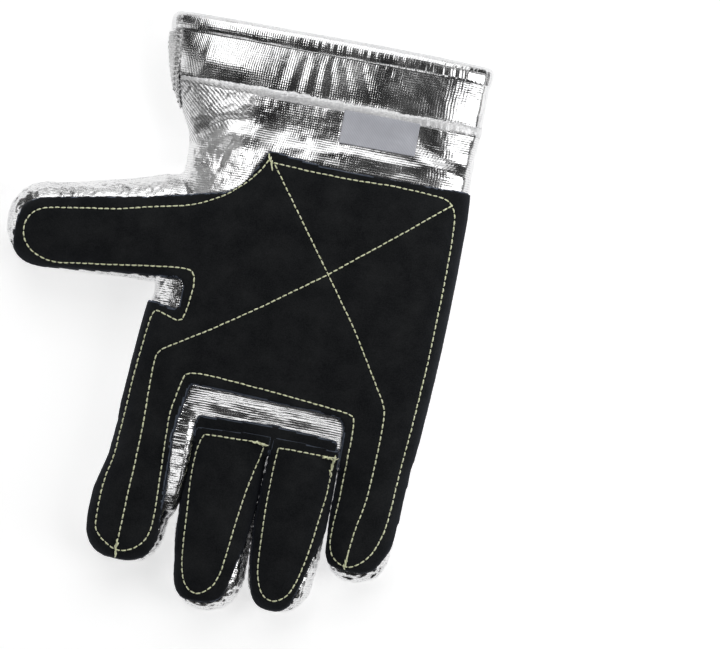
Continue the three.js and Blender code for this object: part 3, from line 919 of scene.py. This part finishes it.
def sewn(name, tree, paths, thread, pitch=STITCH_PITCH, fill=0.84, thick=0.8, arch=0.38, tacks=()):
    """The stitches along some paths, as one piece lying on a surface."""
    parts = []
    for path in map(softened, paths):
        steps = np.hypot(*np.diff(path, axis=0).T)
        reach = np.concatenate([[0], np.cumsum(steps)])
        count = max(1, round(reach[-1] / pitch))
        for i in range(count):
            middle = (i + 0.5) * reach[-1] / count
            half = fill * pitch / 2 * random.uniform(0.92, 1.06)
            spots = []
            for at in (middle - half, middle + half):
                x, y = (np.interp(at, reach, path[:, k]) for k in range(2))
                spots.append((x + random.uniform(-0.1, 0.1), y + random.uniform(-0.1, 0.1)))
            ends = [laid_on(tree, *spot) for spot in spots]
            if None not in ends:
                parts.append(stitch(ends, thick * random.uniform(0.92, 1.08), arch))
    for start, end in np.array(tacks, float):
        way = (end - start) / np.hypot(*(end - start))
        for share in np.linspace(0, 1, 7):
            middle = start + (end - start) * share + random.uniform(-0.45, 0.45, 2)
            turn = random.uniform(-0.5, 0.5)
            cos, sin = math.cos(turn), math.sin(turn)
            turned = np.array([way[0] * cos - way[1] * sin, way[0] * sin + way[1] * cos])
            ends = [laid_on(tree, *(middle + turned * k)) for k in (-1.6, 1.6)]
            if None not in ends:
                parts.append(stitch(ends, thick, arch + random.uniform(0.1, 0.5)))
    return coated(new_mesh(name, *stacked(parts)), thread)


def hand_ring(row, count):
    """Evenly spaced points round the hand's form at one of its rows."""
    return form_rings({**HAND, "rows": [row, (row[0] + 1, *row[1:])]}, 5, count)[0]


def cuff_rings(count):
    """Evenly spaced outlines of the cuff at its hem and at its end, and the way out of them."""
    low, high = (hand_ring(row, count) for row in (HEM_ROW, CUFF_END_ROW))
    along = np.roll(low, -1, axis=0) - np.roll(low, 1, axis=0)
    out = np.column_stack([along[:, 2], np.zeros(count), -along[:, 0]])
    out /= np.linalg.norm(out, axis=1)[:, None]
    return low, high, out


# The rolled hem's section: place along the glove and height over its smooth surface.
HEM_SECTION = [
    (132.5, -1.4), (132.1, -0.6), (132.4, 0.1), (133.1, 0.5), (134.4, 0.8), (136.0, 1.0), (137.7, 1.1),
    (139.3, 1.05), (140.8, 0.75), (142.0, 0.0), (142.9, -1.2), (143.3, -2.5), (143.0, -3.5), (142.0, -4.2),
    (140.0, -4.6), (137.0, -4.7), (134.0, -4.7), (132.5, -4.6),
]


def hem_piece():
    """The cloth rolled over the cuff's edge, gathered along its seam."""
    low, high, out = cuff_rings(HEM_POINTS)
    around = np.arange(HEM_POINTS) * np.linalg.norm(low - np.roll(low, 1, axis=0), axis=1).mean()
    gathered = smoothstep(-34, 4, low[:, 0]) * (low[:, 2] > 12) + 0.8 * (low[:, 2] <= 12)
    flat = low * np.array([1, 0, 1])
    wander = 1.6 * mixed_noise(flat, 14, 21)
    beat = 0.6 * wave(around + wander, 4.9) + 0.5 * wave(around - 2 * wander, 2.9)
    deep = (0.04 + 0.15 * gathered) * (0.75 + 0.5 * mixed_noise(flat, 9, 22))
    roll = 1 + 0.3 * mixed_noise(flat, 26, 27)
    sway = 0.55 * mixed_noise(flat, 42, 23)
    rings = []
    for along, height in HEM_SECTION:
        share = (along - HEM_Y) / (CUFF_END_Y - HEM_Y)
        ring = low + (high - low) * share
        skin = smoothstep(-3.0, -0.5, height)
        pleats = deep * beat * (0.75 + 0.25 * bell(along - 136.5, 6.0))
        puff = skin * (pleats + 0.16 * mixed_noise(ring + out * height, 7, 24))
        ring = ring + out * (height * (roll if height > 0 else 1) + puff)[:, None]
        ring[:, 1] = along + sway * share + 0.25 * skin * mixed_noise(ring, 10, 25)
        ring[:, 2] = np.maximum(ring[:, 2], CLOTH_LOW_Z)
        rings.append(ring)
    made = new_solid("hem_roll", *ring_mesh(np.array(rings), torus=True))
    fine = made.modifiers.new("fine", "SUBSURF")
    fine.levels = fine.render_levels = 1
    centres = face_centres(applied(made).data)
    worn = centres[:, 1] > 140.9 + 0.5 * mixed_noise(centres, 5, 26)
    return coated(made, "silver", "worn_silver", second=worn)


def welt_piece():
    """The narrow ridge of folded cloth sewn across the palm's side at the cuff band's lower seam."""
    out = cuff_rings(WELT_POINTS)[2]
    ring = hand_ring(WELT_ROW, WELT_POINTS)
    keep = np.nonzero((ring[:, 2] > COVER_LOW_Z) & ((ring[:, 0] > -79.5) | (ring[:, 2] > SIDE_SEAM_Z + 8)))[0]
    breaks = np.nonzero(np.diff(keep) > 1)[0]
    if len(breaks):
        keep = np.concatenate([keep[breaks[0] + 1:], keep[: breaks[0] + 1]])
    path, away = ring[keep], out[keep]
    fuzz = 0.5 * mixed_noise(path, 2.0, 31) + 0.5 * mixed_noise(path, 7, 32)
    broad = 0.6 + 0.4 * smoothstep(-82, -45, path[:, 0])
    sway = 0.45 * mixed_noise(path, 26, 33)
    rows = []
    for rank, angle in enumerate(np.linspace(0, TURN, 12, endpoint=False)):
        wide, tall = 2.5 * broad * math.cos(angle), 0.42 * math.sin(angle)
        row = path + away * (tall * (1 + fuzz) + 0.14 * mixed_noise(path, 1.5, 34 + rank))[:, None]
        row[:, 1] = WELT_Y + wide * (1 + 0.6 * fuzz) + sway + 0.8 * mixed_noise(path, 1.4, 50 + rank)
        rows.append(row)
    return coated(new_solid("welt_ridge", *ring_mesh(np.array(rows).transpose(1, 0, 2))), "worn_silver")


def tape_piece(base):
    """The strip of cloth folded over the cuff's side seam."""
    made, points, _, normals = layer(
        "side_tape", base, SIDE_TAPE, frayed(SIDE_TAPE, 41), (0.2, 1.3), (COVER_LOW_Z, ABOVE_Z), TAPE_VOXEL, 2,
        below=FAR, ripple=0.2, margin=4.0,
    )
    ribs = 0.22 * wave(points[:, 1] + 0.8 * mixed_noise(points, 8, 42), 2.6)
    points += normals * (ribs + 0.2 * mixed_noise(points, 4, 43))[:, None]
    set_points(made.data, points)
    # The tape gets the darker copy of the foil: painted shade.
    return coated(made, "shade_painted_silver")


def label_piece(tree):
    """The bare satin tag, caught under the welt."""
    places = np.linspace(LABEL_LEFT, LABEL_RIGHT, 61), np.linspace(LABEL_TOP, LABEL_LOW, 31)
    across, along = np.meshgrid(*places, indexing="ij")
    spots = zip(across.ravel(), along.ravel())
    low = np.array([laid_on(tree, *spot)[0][2] for spot in spots]).reshape(across.shape)
    smooth = low
    for _ in range(12):
        padded = np.pad(smooth, 1, mode="edge")
        smooth = (padded[:-2, 1:-1] + padded[2:, 1:-1] + padded[1:-1, :-2] + padded[1:-1, 2:]) / 4
    free = (LABEL_TOP - along) / (LABEL_TOP - LABEL_LOW)
    corner = bell(across - 11, 5) * free**2
    flat = np.column_stack([across.ravel(), along.ravel(), np.zeros(across.size)])
    fold = 0.6 * mixed_noise(flat, 13, 51).reshape(across.shape) * free
    up = np.maximum(smooth, low) + 0.35 + 0.9 * corner + fold
    top, bottom = (np.stack([across, along, height], axis=-1) for height in (up + 0.35, up))
    return coated(new_solid("bare_tag", *ring_mesh(np.concatenate([top, bottom[:, ::-1]], axis=1))), "label")


def flap_piece(base):
    """The padded flap across the back of the knuckles."""
    made, points, places, normals = layer(
        "knuckle_pad", base, KNUCKLE_FLAP, frayed(KNUCKLE_FLAP, 61), (0.25, 2.1), (-20, 12.7), FLAP_VOXEL, 3,
        below=14.5, margin=6.0,
    )
    height = ((points - places) * normals).sum(axis=1)
    top = smoothstep(0.8, 1.6, height)
    folds = folded(points, FLAP_FOLDS) + 0.35 * mixed_noise(points, 9, 62) + 0.25 * mixed_noise(points, 4, 63)
    points += normals * (top * folds)[:, None]
    points[:, 2] = np.maximum(points[:, 2], PRESSED_LOW_Z)
    set_points(made.data, points)
    return coated(made, "silver")


class Number:
    """What a node's output says at each place of a piece. Its arithmetic adds nodes."""

    def __init__(self, socket):
        self.socket = socket

    def maths(self, kind, first, second):
        return Number(node(self.socket.id_data, "ShaderNodeMath", {0: first, 1: second}, operation=kind).outputs[0])

    def __add__(self, other):
        return self.maths("ADD", self, other)

    def __mul__(self, other):
        return self.maths("MULTIPLY", self, other)

    def __rsub__(self, other):
        return self.maths("SUBTRACT", other, self)

    def between(self, low, high, start=0.0, end=1.0):
        """The number taken from one range to another, with its ends held."""
        inputs = {0: self, 1: low, 2: high, 3: start, 4: end}
        return Number(node(self.socket.id_data, "ShaderNodeMapRange", inputs).outputs[0])


def fed(tree, made, inputs):
    """Gives a node its inputs, which are values, numbers or other nodes' outputs."""
    for key, value in inputs.items():
        value = value.socket if isinstance(value, Number) else value
        if isinstance(value, bpy.types.NodeSocket):
            tree.links.new(value, made.inputs[key])
        else:
            made.inputs[key].default_value = value
    return made


def node(tree, kind, inputs, **settings):
    """A new node with its inputs and settings."""
    made = tree.nodes.new(kind)
    for key, value in settings.items():
        setattr(made, key, value)
    return fed(tree, made, inputs)


def paint(name):
    """A new node material: its tree, its shader and the place on the piece."""
    made = bpy.data.materials.new(name)
    made.use_nodes = True
    tree = made.node_tree
    return made, tree, tree.nodes["Principled BSDF"], node(tree, "ShaderNodeTexCoord", {}).outputs["Object"]


def blended(tree, share, dark, light):
    """A colour between two colours. Each is three shares or another node's output."""
    ends = (end if isinstance(end, bpy.types.NodeSocket) else (*end, 1) for end in (dark, light))
    return node(tree, "ShaderNodeMix", dict(zip((0, 6, 7), (share, *ends))), data_type="RGBA").outputs[2]


def speckle(tree, place, scale, detail=2.0, rough=0.5):
    """Noise over a piece."""
    inputs = {"Vector": place, "Scale": scale, "Detail": detail, "Roughness": rough}
    return Number(node(tree, "ShaderNodeTexNoise", inputs).outputs["Fac"])


def stripes(tree, place, scale, distortion, way="DIAGONAL", detail_scale=1.0):
    """Waves across a piece."""
    inputs = {"Vector": place, "Scale": scale, "Distortion": distortion, "Detail": 2.0, "Detail Scale": detail_scale}
    return Number(node(tree, "ShaderNodeTexWave", inputs, bands_direction=way).outputs["Fac"])


def relief(tree, height, strength, distance, over=None):
    """The bump of a height, over another bump."""
    inputs = {"Strength": strength, "Distance": distance, "Height": height}
    return node(tree, "ShaderNodeBump", inputs if over is None else {**inputs, "Normal": over}).outputs[0]


def weave_height(tree, place):
    """A plain weave that is pulled askew at the wrist's side: its height from 0 to 1, the painted shade between its
    askew ribs, and how scuffed it is."""
    # The plain weave. Its ribs and wefts change shares at the welt.
    x, y, z = map(Number, node(tree, "ShaderNodeSeparateXYZ", {0: place}).outputs)
    flat = node(tree, "ShaderNodeCombineXYZ", {0: x + z, 1: y}).outputs[0]
    scale = TURN / 20 / (WEAVE_PITCH * MM)
    rib, weft = (stripes(tree, flat, scale, 2.4, way, 0.35) for way in "XY")
    welt = to_row((0, WELT_Y, 0))[1]
    below = y.between(welt, welt - 0.001)
    straight = rib * below.between(0.0, 1.0, RIBS, WEFTS) + weft * below.between(0.0, 1.0, WEFTS, RIBS)

    # The askew weave, and the corner of the wrist where it lies.
    turned = node(tree, "ShaderNodeVectorRotate", {0: flat, 3: PULL_TURN}, rotation_type="AXIS_ANGLE").outputs[0]
    askew = stripes(tree, turned, 0.72 * scale, 2.6, "X", 0.35)
    off = node(tree, "ShaderNodeVectorMath", {0: place, 1: tuple(to_row(PULL_LINE))}, operation="SUBTRACT").outputs[0]
    beyond = node(tree, "ShaderNodeVectorMath", {0: off, 1: PULL_WAY}, operation="DOT_PRODUCT").outputs["Value"]
    beyond = Number(beyond) + speckle(tree, place, 160.0).between(0.3, 0.7, -0.003, 0.003)
    side, reach, hand = SIDE_SEAM_Z * MM, to_row(PULL_LINE)[0], to_row((0, PULL_LOW_Y, 0))[1]
    corner = below * z.between(side - 0.004, side) * x.between(reach, reach - 0.008) * y.between(hand - 0.006, hand)
    share = beyond.between(-0.0005, 0.0005) * corner
    least = x.between(*(to_row((at, 0, 0))[0] for at in RIBS_FADE_X), *RIBS_SHOW)
    # Painted shade: dark lines between the askew ribs.
    rib_shade = share * (1.0 - askew.between(least, least + 0.3))
    return Number(node(tree, "ShaderNodeMix", {0: share, 2: straight, 3: askew}).outputs[0]), rib_shade, corner


def silver_paint(name, smooth=0.15, rough=0.27, grain=0.5, crumples=0.2, dark=0.58, light=0.92, weave=1.0, metal=1.0):
    """Aluminized cloth: bright foil over a coarse weave, crumpled and a little scuffed, with painted shade in the
    weave's hollows and between its askew ribs. Its roughness lies between smooth and rough, its crumples' depth is in
    millimetres, and grain and weave are shares of their usual depth."""
    made, tree, shader, place = paint(name)
    broad, fine = speckle(tree, place, 60.0), speckle(tree, place, 1050.0)
    height, rib_shade, scuffed = weave_height(tree, place)
    creased = scuffed.between(0.0, 1.0, crumples * MM, 3 * crumples * MM)
    bumps = relief(tree, speckle(tree, place, 240.0, 3.0, 0.55), 0.5, creased)
    bumps = relief(tree, height, 0.7, 0.00009 * weave, bumps)
    bumps = relief(tree, fine, min(grain, 1.0), 0.00006 * max(grain, 1.0), bumps)
    # The tone is lighter on the weave's ribs and darker in its hollows: painted shade. Broad and fine noise vary it at
    # random.
    tone = broad.between(0.3, 0.7, 0.0, 0.35) + height.between(0.2, 0.7, 0.0, 0.65 * weave)
    tone = tone + fine.between(0.4, 0.6, 0.0, 0.65 * (1 - weave)) + scuffed * 0.35
    woven = blended(tree, tone, (dark, dark, dark * 1.02), (light, light, light))
    # The base colour turns grey between the askew ribs: painted shade.
    fed(tree, shader, {
        "Base Color": blended(tree, rib_shade, woven, (0.48, 0.48, 0.49)), "Normal": bumps,
        "Metallic": scuffed.between(0.0, 1.0, metal, 0.82 * metal),
        "Roughness": broad.between(0.3, 0.7, smooth, rough) + scuffed * 0.09,
    })
    return made


def suede_paint(name, dark, light, rough, sheen):
    """Suede: a short matt nap in two tones."""
    made, tree, shader, place = paint(name)
    patches, nap = speckle(tree, place, 70.0, 4.0, 0.6), speckle(tree, place, 1400.0, 3.0, 0.7)
    tone = patches.between(0.35, 0.7, 0.0, 0.5) + nap.between(0.35, 0.7, 0.0, 0.5)
    fed(tree, shader, {
        "Base Color": blended(tree, tone, dark, light), "Normal": relief(tree, nap, 0.5, 0.00025),
        "Roughness": rough, "Specular IOR Level": 0.15,
        "Sheen Weight": sheen, "Sheen Roughness": 0.6, "Sheen Tint": (0.6, 0.7, 1.0, 1),
    })
    return made


def thread_paint(name, dark, light):
    """Twisted thread: fine slanting plies and a slight shine."""
    made, tree, shader, place = paint(name)
    ply = stripes(tree, place, 520.0, 1.5)
    tone = ply * speckle(tree, place, 420.0).between(0.3, 0.7, 0.55, 1.0)
    fed(tree, shader, {
        "Base Color": blended(tree, tone, dark, light), "Normal": relief(tree, ply, 0.4, 0.0001), "Roughness": 0.6,
    })
    return made


def label_paint():
    """Grey satin with a fine slanting twill."""
    made, tree, shader, place = paint("label satin")
    twill = stripes(tree, place, 420.0, 0.6)
    tone = twill.between(0, 1, 0.0, 0.5) + speckle(tree, place, 90.0).between(0.3, 0.7, 0.0, 0.5)
    fed(tree, shader, {
        "Base Color": blended(tree, tone, (0.46, 0.47, 0.52), (0.61, 0.62, 0.675)),
        "Normal": relief(tree, twill, 0.3, 0.00008),
        "Roughness": 0.42, "Specular IOR Level": 0.5, "Sheen Weight": 0.15,
    })
    return made


def lining_paint():
    """The soft off-white lining."""
    made, tree, shader, place = paint("lining felt")
    fuzz = speckle(tree, place, 700.0, 4.0, 0.7)
    fed(tree, shader, {
        "Base Color": blended(tree, fuzz, (0.5, 0.48, 0.44), (0.8, 0.78, 0.73)),
        "Normal": relief(tree, fuzz, 0.6, 0.0004), "Roughness": 0.95,
    })
    return made


def floor_paint():
    """The studio's plain pale floor."""
    made, tree, shader, place = paint("studio floor")
    fed(tree, shader, {
        "Base Color": blended(tree, speckle(tree, place, 3.0), (0.86, 0.86, 0.86), (0.88, 0.88, 0.88)),
        "Roughness": 0.9, "Emission Color": (1, 1, 1, 1), "Emission Strength": 0.54,
    })
    return made


materials = {
    "silver": silver_paint("aluminized cloth", weave=0.8),
    "crumpled_silver": silver_paint("crumpled aluminized cloth", grain=1.0, crumples=0.34, dark=0.5, weave=0.4),
    "worn_silver": silver_paint(
        "frayed aluminized cloth", smooth=0.3, rough=0.4, grain=3.0, crumples=0.5, dark=0.8, light=1.0, weave=0.05,
        metal=0.4,
    ),
    # A darker copy of the foil for the side tape: painted shade.
    "shade_painted_silver": silver_paint(
        "aluminized cloth with painted shade", smooth=0.22, rough=0.32, grain=1.0, crumples=0.5, dark=0.14, light=0.9, weave=0.6,
        metal=0.85,
    ),
    "lining": lining_paint(),
    "suede": suede_paint("black suede", (0.003, 0.0036, 0.004), (0.0205, 0.0215, 0.022), rough=0.95, sheen=0.05),
    "suede_edge": suede_paint("suede cut edge", (0.028, 0.034, 0.044), (0.11, 0.13, 0.165), rough=0.9, sheen=0.3),
    "yellow": thread_paint("yellow thread", (0.86, 0.9, 0.52), (1.0, 1.0, 0.8)),
    "white": thread_paint("white thread", (0.7, 0.7, 0.7), (0.95, 0.95, 0.95)),
    "label": label_paint(),
    "floor": floor_paint(),
}


def pieces_of_cloth():
    """The hand's and the digits' cloth, each piece standing for its CAD node."""
    hand = base_surface("hand", [], HAND_VOXEL, stubs=DIGITS)
    cloth_shell(hand, has_digits=False)
    band_end = HEM_Y + 1
    finger_seam, thumb_seam = ((0, FINGER_SEAM_Y, 0), (0, 1, 0)), ((THUMB_SEAM_X, 0, 0), (1, 0, 0))
    cut_along(hand, [
        ((0, 0, SIDE_SEAM_Z), (0, 0, 1)), finger_seam, thumb_seam, ((0, WELT_Y, 0), (0, 1, 0)),
        ((0, band_end, 0), (0, 1, 0)),
    ])
    x, y, z = face_centres(hand.data).T
    stub = (y < FINGER_SEAM_Y) | ((x < THUMB_SEAM_X) & (np.abs(y - THUMB_Y) < THUMB_HALF_Y))
    body = ~stub & (y < WELT_Y)
    made = {
        "palm_shell": cloth_piece("palm_cloth", hand, body & (z > SIDE_SEAM_Z)),
        "back_shell": cloth_piece("back_cloth", hand, body & (z <= SIDE_SEAM_Z)),
        "cuff_band": cloth_piece("band_cloth", hand, (y > WELT_Y) & (y < band_end)),
    }
    bpy.data.objects.remove(hand)
    digits = []
    for name, form in DIGITS.items():
        parts = [form, GUSSET] if name == "index_finger" else [form]
        digits.append(remeshed(name, map(form_part, parts), DIGIT_VOXEL))
    digits = joined_meshes("digits", digits)
    cloth_shell(digits, has_digits=True)
    cut_along(digits, [finger_seam, thumb_seam])
    x, y, z = face_centres(digits.data).T
    fingers = y < FINGER_SEAM_Y
    chosen = [fingers & (x > low) & (x < high) for low, high in zip((-FAR, *FINGER_GAPS_X), (*FINGER_GAPS_X, FAR))]
    for name, faces in zip(DIGITS, [*chosen, ~fingers & (x < THUMB_SEAM_X)]):
        made[name] = cloth_piece(name + "_cloth", digits, faces, fine_weave=False)
    bpy.data.objects.remove(digits)
    return made


# The photograph is taken from straight above, with the glove turned a little in the picture. The frame's width is the
# one at the height FRAME_Z.
CAMERA_LENS = 190.0
CAMERA_AT = (39.575, -6.076)
FRAME_WIDTH = 388.8
FRAME_Z = 20
GLOVE_TILT = 10.5

# The softboxes: name, way to it from straight up towards x and y in degrees, distance, width, height, radiance.
SOFTBOXES = [
    ("top", (0, 42), 1.6, 1.8, 0.9, 1.5),
    ("behind", (0, 66), 1.8, 2.4, 1.0, 0.85),
    ("front", (0, -30), 1.6, 1.2, 0.42, 1.5),
    ("left", (-17, 17), 1.6, 0.42, 0.5, 3.0),
    ("right", (54, 0), 1.6, 0.8, 1.3, 2.6),
    ("low_left", (-69, -6), 1.6, 0.5, 1.3, 1.2),
]
FLOOR_REACH = 4.0


def studio():
    """The floor, the lights, the world and the camera."""
    mesh = bpy.data.meshes.new("floor")
    corners = [(x * FLOOR_REACH, y * FLOOR_REACH, 0) for x, y in ((-1, -1), (1, -1), (1, 1), (-1, 1))]
    mesh.from_pydata(corners, [], [(0, 1, 2, 3)])
    floor = placed("studio_floor", mesh)
    mesh.materials.append(materials["floor"])
    for name, (across, along), distance, wide, tall, radiance in SOFTBOXES:
        way = Vector((math.tan(math.radians(across)), math.tan(math.radians(along)), 1)).normalized()
        light = bpy.data.lights.new(name, "AREA")
        light.shape = "RECTANGLE"
        light.size, light.size_y = wide, tall
        light.energy = radiance * math.pi * wide * tall
        box = placed(name, light)
        box.location = way * distance
        box.rotation_euler = (-box.location).to_track_quat("-Z", "Y").to_euler()
    world = bpy.data.worlds.new("studio")
    bpy.context.scene.world = world
    world.use_nodes = True
    tree = world.node_tree
    way = node(tree, "ShaderNodeTexCoord", {}).outputs["Generated"]
    up = Number(node(tree, "ShaderNodeSeparateXYZ", {0: way}).outputs[2])
    fed(tree, tree.nodes["Background"], {"Strength": up.between(0.0, 0.5, 0.95, 0.22)})
    lens = bpy.data.cameras.new("camera")
    lens.lens = CAMERA_LENS
    camera = placed("camera", lens)
    distance = CAMERA_LENS * FRAME_WIDTH / lens.sensor_width
    camera.location = to_row((*CAMERA_AT, FRAME_Z + distance))
    camera.rotation_euler = (0, 0, math.radians(GLOVE_TILT))
    bpy.context.scene.camera = camera
    bpy.context.scene.view_settings.view_transform = "Standard"


studio()
dressed = pieces_of_cloth()
dressed["hem_binding"] = hem_piece()
dressed["welt"] = welt_piece()
palm_base = base_surface("palm_base", ["thumb", "index_finger", "little_finger"])
dressed["palm_patch"] = leather_piece("palm_leather", palm_base, PALM_PATCH, [MAIN_LINE, *CROSS_LINES], 71)
dressed["side_seam_binding"] = tape_piece(palm_base)
dressed["knuckle_flap"] = flap_piece(palm_base)
dressed["label"] = label_piece(tree_over(dressed["palm_shell"]))
bpy.data.objects.remove(palm_base)
for name, piece, fingers, outline, lines, seed, thick in (
    ("middle_patch", "middle_leather", ["middle_finger"], MIDDLE_PATCH, [MIDDLE_LINE], 75, LEATHER),
    ("ring_patch", "ring_leather", ["ring_finger"], RING_PATCH, [RING_LINE], 79, LEATHER),
    ("crease_strip", "crease_leather", ["middle_finger", "ring_finger"], CREASE_STRIP, [], 83, STRIP_LEATHER),
):
    base = base_surface("base", fingers)
    dressed[name] = leather_piece(piece, base, outline, lines, seed, SMALL_VOXEL, thick)
    bpy.data.objects.remove(base)

sewing = {}
for patch, lines in (("palm", [MAIN_LINE, *CROSS_LINES]), ("middle", [MIDDLE_LINE]), ("ring", [RING_LINE])):
    name = patch + "_stitches"
    sewing[name] = sewn(name, tree_over(dressed[patch + "_patch"]), lines, "yellow", tacks=TACKS[patch])
cuff_tree = tree_over(*(dressed[name] for name in ("side_seam_binding", "hem_binding", "cuff_band", "palm_shell")))
sewing["side_stitches"] = sewn(
    "side_stitches", cuff_tree, SIDE_LINES, "white", pitch=2.7, fill=0.7, thick=1.0, arch=0.45,
)

SUEDE_NODES = ("palm_patch", "middle_patch", "ring_patch", "crease_strip")
for name, piece in dressed.items():
    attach(piece, "root")
    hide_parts(name)
    0.3 if name in (*SUEDE_NODES, "label", "welt", "side_seam_binding") else 0.45
    "black_suede" if name in SUEDE_NODES else "label_satin" if name == "label" else "aluminized_cloth"
for name, piece in sewing.items():
    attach(piece, "root")
    "aluminized_cloth" if name == "side_stitches" else "black_suede"
